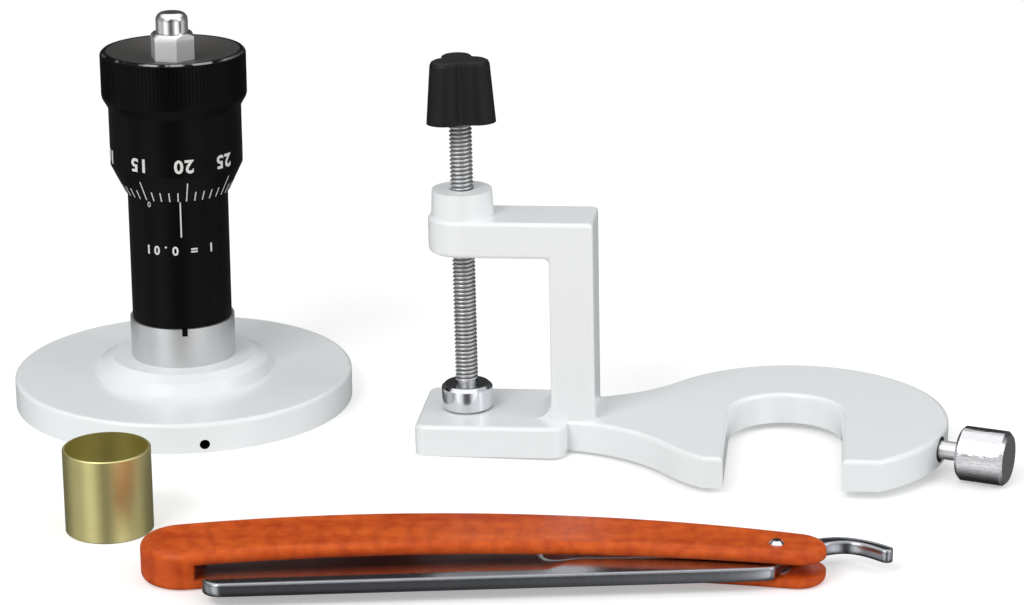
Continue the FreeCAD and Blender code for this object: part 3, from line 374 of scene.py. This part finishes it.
dark_chrome = (0.62, 0.62, 0.66)
pale_chrome = (0.86, 0.86, 0.88)
streaked_chrome = start_material("streaked chrome")
spot = object_place()
streaks = add_noise(stretch(spot, (120.0, 900.0, 5200.0)), 1.0, 3.0)
close_material(
    Base_Color=blend_colours(streaks, dark_chrome, pale_chrome),
    Metallic=1.0,
    Roughness=0.08 + 0.10 * streaks,
    Normal=bump(streaks, 0.30, 0.0003))
finish_nodes(streaked_chrome, "lock_knob")

nut_low, nut_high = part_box("acorn_nut")
nut_shoulder = (nut_low[2] + nut_high[2]) / 2
pale_nickel = (0.90, 0.90, 0.92)
nickel = start_material("bright nickel")
spot = object_place()
# Painted highlight: the hex below the shoulder is only half metallic, so it shows matt white.
close_material(
    Base_Color=pale_nickel,
    Metallic=0.52 + 0.44 * (height_of(spot) > nut_shoulder),
    Roughness=0.10 + 0.08 * add_noise(spot, 500.0, 4.0))
finish_nodes(nickel, "acorn_nut")


# Thimble, sleeve and feed knob: turned aluminium, anodised black. The knob's dished top was faced
# on the lathe and shows its rings; it is coloured greyer than the sides, partly as a painted sheen.
# A metallic grey band round its rim, broken by noise, is a painted highlight.
knob_low, knob_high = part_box("feed_knob")
dish_bottom = knob_high[2] - 0.0024
dish_radius = 0.0164
nut_hole_radius = 0.0030
rim_highlight_bottom = knob_high[2] - 0.0004
rim_highlight_radius = 0.0172
deep_black = (0.0012, 0.0012, 0.0018)
soft_black = (0.0026, 0.0026, 0.0034)
dark_facing_and_sheen = (0.060, 0.058, 0.056)
pale_facing_and_sheen = (0.150, 0.146, 0.140)
rim_highlight_grey = (0.30, 0.30, 0.30)
black_anodising = start_material("black anodising")
spot = object_place()
grain = add_noise(spot, 1400.0, 2.0)
level = height_of(spot)
from_axis = radius_about(spot, unit_centre)
facing_rings = add_noise(vector_from(from_axis, 0.0, 0.0), 3200.0, 2.0)
# The dish's grey, lighter than the sides, is partly a painted sheen; its rings are the lathe's.
dish = (level > dish_bottom) * (from_axis < dish_radius) * (from_axis > nut_hole_radius)
# Painted highlight: a metallic grey band, broken by noise, round the rim's top edge.
rim = (level > rim_highlight_bottom) * (from_axis > rim_highlight_radius)
rim_highlight = rim * fade(add_noise(spot, 210.0, 4.0), 0.44, 0.50, 0.0, 1.0)
close_material(
    Base_Color=blend_colours(
        rim_highlight,
        blend_colours(
            dish,
            blend_colours(add_noise(spot, 60.0), deep_black, soft_black),
            blend_colours(facing_rings, dark_facing_and_sheen, pale_facing_and_sheen)),
        rim_highlight_grey),
    Metallic=Wire.maths("MAXIMUM", rim_highlight, 0.7 * dish),
    Roughness=0.30 + 0.12 * grain + 0.10 * dish * facing_rings,
    Specular_IOR_Level=0.10,
    Normal=bump(grain + dish * facing_rings, 0.06, 0.0002))
finish_nodes(black_anodising, "graduated_sleeve", "sleeve_key", "thimble", "feed_knob")


# Knurl: the feed knob's grip is a fine straight knurl rolled into its side, between the two
# bevels, of the same black aluminium.
def deselect():
    bpy.ops.object.select_all(action="DESELECT")


def select_mesh():
    """Open the active piece in edit mode with its whole mesh selected."""
    bpy.ops.object.mode_set(mode="EDIT")
    bpy.ops.mesh.select_all(action="SELECT")


def bevel_edges(width, segments=1):
    """Bevel all edges of the active piece."""
    select_mesh()
    bpy.ops.mesh.bevel(offset=width, segments=segments)
    bpy.ops.object.mode_set(mode="OBJECT")


def apply_place(piece, place=None, turn=None):
    """Put a piece at a place and turn, and leave both in its mesh."""
    deselect()
    piece.select_set(True)
    bpy.context.view_layer.objects.active = piece
    if place is not None:
        piece.location = place
    if turn is not None:
        piece.rotation_euler = turn
    bpy.ops.object.transform_apply(location=True, rotation=True, scale=True)


def spin_copies(piece, count):
    """Repeat a piece's mesh in a full circle round the world's Z axis."""
    apply_place(piece)
    select_mesh()
    bpy.ops.mesh.spin(steps=count - 1, dupli=True, angle=2 * math.pi * (count - 1) / count,
                      center=(0.0, 0.0, 0.0), axis=(0.0, 0.0, 1.0))
    bpy.ops.object.mode_set(mode="OBJECT")


def finish_piece(piece, name, material, body):
    piece.name = name
    piece.data.name = name
    piece.data.materials.clear()
    piece.data.materials.append(material)
    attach(piece, body)


knurl_ridges = 116
knurl_foot = 0.0791
knurl_top = 0.0893
ridge_radius = 0.00030
ridge_sink = 0.00010
ridge_bevel = 0.00006
knob_radius = (knob_high[0] - knob_low[0]) / 2
deselect()
bpy.ops.mesh.primitive_cylinder_add(
    vertices=3, radius=ridge_radius, depth=knurl_top - knurl_foot,
    location=(knob_radius - ridge_sink, 0.0, (knurl_foot + knurl_top) / 2), rotation=(0.0, 0.0, -math.pi / 2))
knurl = bpy.context.object
bevel_edges(ridge_bevel)
spin_copies(knurl, knurl_ridges)
apply_place(knurl, unit_centre)
finish_piece(knurl, "knurl_ridges", black_anodising, "feed")


# Graduation: forty divisions cut into the thimble's cone, each fifth one longer, and numbers
# over them, all filled with white paint. They read upside down, as the whole microtome stands.
dull_white = (0.62, 0.62, 0.60)
clean_white = (0.82, 0.82, 0.80)
white_filling = start_material("white filling")
spot = object_place()
close_material(
    Base_Color=blend_colours(add_noise(spot, 900.0), dull_white, clean_white),
    Roughness=0.55,
    Normal=bump(add_noise(spot, 2500.0, 2.0), 0.2, 0.0001))

thimble_low, thimble_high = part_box("thimble")
thimble_radius = (thimble_high[0] - thimble_low[0]) / 2
cone_foot_radius = 0.01295
cone_foot = thimble_low[2]
cone_top = 0.0617
cone_lean = math.atan2(thimble_radius - cone_foot_radius, cone_top - cone_foot)
twenty_turn = math.radians(-74.2)
division_count = 40
fifth_count = 8
division_width = 0.00030
division_foot = 0.0001
division_top = 0.0029
fifth_top = 0.0059
paint_depth = 0.00010
paint_bevel = 0.00002


def cone_line(start, end):
    """One line up the cone, from one distance over its foot to another."""
    half_way = (start + end) / 2
    deselect()
    bpy.ops.mesh.primitive_cube_add(
        size=1.0, location=(cone_foot_radius + half_way * math.sin(cone_lean), 0.0,
                            cone_foot + half_way * math.cos(cone_lean)),
        rotation=(0.0, cone_lean, 0.0), scale=(paint_depth, division_width, end - start))
    bevel_edges(paint_bevel)
    return bpy.context.object


divisions = cone_line(division_foot, division_top)
spin_copies(divisions, division_count)
fifths = cone_line(division_top, fifth_top)
spin_copies(fifths, fifth_count)
for marks, name in ((divisions, "thimble_divisions"), (fifths, "thimble_fifth_lines")):
    apply_place(marks, turn=(0.0, 0.0, twenty_turn))
    apply_place(marks, unit_centre)
    finish_piece(marks, name, white_filling, "feed")

capital_share = 0.70
curve_steps = 3
paint_lift = 0.00001


def wrapped_text(name, text, height, pitch, radius, level, turn, body, boldness=0.0):
    """Signs round the unit's axis, upside down and read from outside, each a flat raised plate."""
    signs = []
    face_radius = radius + paint_lift
    for place, sign in enumerate(text):
        if sign == " ":
            continue
        deselect()
        bpy.ops.object.text_add()
        plate = bpy.context.object
        plate.data.body = sign
        plate.data.size = height / capital_share
        plate.data.extrude = paint_depth / 2
        plate.data.align_x = "CENTER"
        plate.data.resolution_u = curve_steps
        plate.data.offset = boldness
        bpy.ops.object.convert(target="MESH")
        around = turn + ((len(text) - 1) / 2 - place) * pitch / face_radius
        outward = Vector((math.cos(around), math.sin(around), 0.0))
        left = Vector((math.sin(around), -math.cos(around), 0.0))
        down = Vector((0.0, 0.0, -1.0))
        plate.matrix_world = Matrix((left, down, outward)).transposed().to_4x4()
        plate.location = outward * face_radius + Vector((0.0, 0.0, level + height / 2))
        apply_place(plate)
        signs.append(plate)
    deselect()
    for plate in signs:
        plate.select_set(True)
    bpy.context.view_layer.objects.active = signs[0]
    if len(signs) > 1:
        bpy.ops.object.join()
    whole = bpy.context.view_layer.objects.active
    apply_place(whole, unit_centre)
    finish_piece(whole, name, white_filling, body)


# The numbers' turns from the long line of twenty, in degrees, as uneven as the picture's.
number_turns = {0: 178.5, 5: 226.0, 10: 273.5, 15: 317.0, 20: 357.0, 25: 395.5, 30: 442.0, 35: 490.0}
number_height = 0.0032
number_pitch = 0.0026
number_level = 0.0644
number_boldness = 0.00013
for number, turn in number_turns.items():
    wrapped_text(f"thimble_number_{number}", str(number), number_height, number_pitch, thimble_radius,
                 number_level, twenty_turn + math.radians(turn), "feed", number_boldness)


# Index: one line up the sleeve that the divisions are read against, a small zero beside it
# and the value of one division below, in plain numbers.
sleeve_low, sleeve_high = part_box("graduated_sleeve")
sleeve_radius = (sleeve_high[0] - sleeve_low[0]) / 2
index_turn = math.radians(-81.1)
index_foot = 0.0455
index_top = 0.0560
index_width = 0.00035
deselect()
bpy.ops.mesh.primitive_cube_add(
    size=1.0, location=(sleeve_radius, 0.0, (index_foot + index_top) / 2),
    scale=(paint_depth, index_width, index_top - index_foot))
index_line = bpy.context.object
bevel_edges(paint_bevel)
apply_place(index_line)
apply_place(index_line, turn=(0.0, 0.0, index_turn))
apply_place(index_line, unit_centre)
finish_piece(index_line, "index_line", white_filling, "microtome")

zero_turn = math.radians(-118.0)
zero_height = 0.0014
zero_pitch = 0.0012
zero_level = 0.0536
wrapped_text("sleeve_zero", "0", zero_height, zero_pitch, sleeve_radius, zero_level, zero_turn, "microtome")

value_turn = math.radians(-83.0)
value_height = 0.0022
value_pitch = 0.00235
value_level = 0.0420
value_boldness = 0.00008
wrapped_text("division_value", "1 = 0.01", value_height, value_pitch, sleeve_radius, value_level,
             value_turn, "microtome", value_boldness)


# Clamp knob: a three-lobed knob moulded in matt black plastic round its steel insert. The skin
# is finely pored, so its lights are dull.
dark_moulding = (0.0050, 0.0050, 0.0060)
pale_moulding = (0.0110, 0.0110, 0.0125)
black_moulding = start_material("black moulding")
spot = object_place()
pores = add_noise(spot, 700.0, 4.0)
close_material(
    Base_Color=blend_colours(add_noise(spot, 150.0), dark_moulding, pale_moulding),
    Roughness=0.42 + 0.2 * pores,
    Specular_IOR_Level=0.30,
    Normal=bump(pores, 0.2, 0.0004))
finish_nodes(black_moulding, "clamp_knob")


# Clamp screw: a long M6 screw of plain steel, its thread cut over the whole length down to a
# turned neck that the pressure pad holds. Heights are measured from its joint, under the knob.
screw_joint = joints["clamp_screw_turn"]
screw_axis = Vector(screw_joint["axis"]).normalized()
knob_underside = Vector(screw_joint["pos_m"])
screw_top = 0.0110
screw_end = -0.0704
core_sides = 40
core_bevel = 0.0003
thread_foot = -0.0652
thread_pitch = 0.0010
thread_root = 0.0022
thread_crest = 0.0028
thread_turns = 75
thread_steps = 20
deselect()
bpy.ops.mesh.primitive_cylinder_add(
    vertices=core_sides, radius=thread_root, depth=screw_top - screw_end,
    location=(0.0, 0.0, (screw_top + screw_end) / 2))
core = bpy.context.object
bevel_edges(core_bevel, segments=2)

# The tooth is a triangle that stands in a plane through the axis, with its tip outwards.
deselect()
bpy.ops.mesh.primitive_circle_add(vertices=3, radius=thread_pitch / math.sqrt(3), fill_type="NOTHING")
tooth = bpy.context.object
tooth_depth = thread_crest - thread_root
tooth.scale = (1.0, tooth_depth / (thread_pitch * math.sqrt(0.75)), 1.0)
tooth.rotation_euler = Matrix(((0, 1, 0), (0, 0, 1), (1, 0, 0))).to_euler()
tooth.location = (thread_root + tooth_depth / 3, 0.0, thread_foot)
apply_place(tooth)
coil = tooth.modifiers.new("thread", "SCREW")
coil.angle = 2 * math.pi
coil.screw_offset = thread_pitch
coil.iterations = thread_turns
coil.steps = thread_steps
coil.render_steps = thread_steps
coil.use_merge_vertices = False
coil.use_normal_calculate = True
bpy.ops.object.modifier_apply(modifier="thread")
select_mesh()
bpy.ops.mesh.normals_make_consistent(inside=False)
bpy.ops.object.mode_set(mode="OBJECT")
deselect()
tooth.select_set(True)
core.select_set(True)
bpy.context.view_layer.objects.active = core
bpy.ops.object.join()
apply_place(core)
apply_place(core, turn=Vector((0.0, 0.0, 1.0)).rotation_difference(screw_axis).to_euler())
apply_place(core, knob_underside)
finish_piece(core, "clamp_thread", turned_steel, "screw")
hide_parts("clamp_screw")


# Razor handle: orange plastic moulded with darker veins and shallow arcs, like shell. Its edges
# are rounded off by polishing.
dark_orange = (0.48, 0.050, 0.002)
pale_orange = (0.78, 0.135, 0.014)
arc_brown = (0.30, 0.022, 0.002)
handle_edge_round = 0.0024
bevel_samples = 8
orange_shell = start_material("orange shell")
spot = object_place()
drift = add_noise(spot, 40.0, 2.0)
veins = add_noise(stretch(spot, (22.0, 150.0, 150.0)), 1.0, 5.0, 0.62)
mottles = add_noise(spot, 330.0, 4.0, 0.6)
arcs = Wire.node("ShaderNodeTexWave", {"bands_direction": "X"}, output=1, Vector=spot, Scale=52.0,
                 Distortion=7.0, Detail=2.0, Detail_Scale=1.6)
dark_arcs = fade(arcs, 0.40, 0.0, 0.0, 1.0)
tone = fade(0.7 * veins + 0.5 * mottles, 0.44, 0.80, 0.0, 1.0)
rounded = Wire.node("ShaderNodeBevel", {"samples": bevel_samples}, Radius=handle_edge_round)
close_material(
    Base_Color=blend_colours(0.22 * dark_arcs, blend_colours(tone, dark_orange, pale_orange), arc_brown),
    Roughness=0.30 + 0.1 * drift,
    Specular_IOR_Level=0.24,
    Normal=Wire.node("ShaderNodeBump", Height=mottles - 0.3 * dark_arcs, Strength=0.16, Distance=0.0006,
                     Normal=rounded))
finish_nodes(orange_shell, "razor_handle")


# Razor blade: forged steel, ground hollow and polished along its length. Its spine and edges
# are eased.
dark_blade = (0.34, 0.35, 0.38)
pale_blade = (0.46, 0.47, 0.50)
blade_edge_round = 0.0017
blade_steel = start_material("blade steel")
spot = object_place()
strokes = add_noise(stretch(spot, (2400.0, 60.0, 60.0)), 1.0, 3.0)
rounded = Wire.node("ShaderNodeBevel", {"samples": bevel_samples}, Radius=blade_edge_round)
close_material(
    Base_Color=blend_colours(add_noise(spot, 70.0), dark_blade, pale_blade),
    Metallic=1.0,
    Roughness=0.12 + 0.10 * strokes,
    Normal=Wire.node("ShaderNodeBump", Height=strokes, Strength=0.03, Distance=0.0002, Normal=rounded))
finish_nodes(blade_steel, "razor_blade")
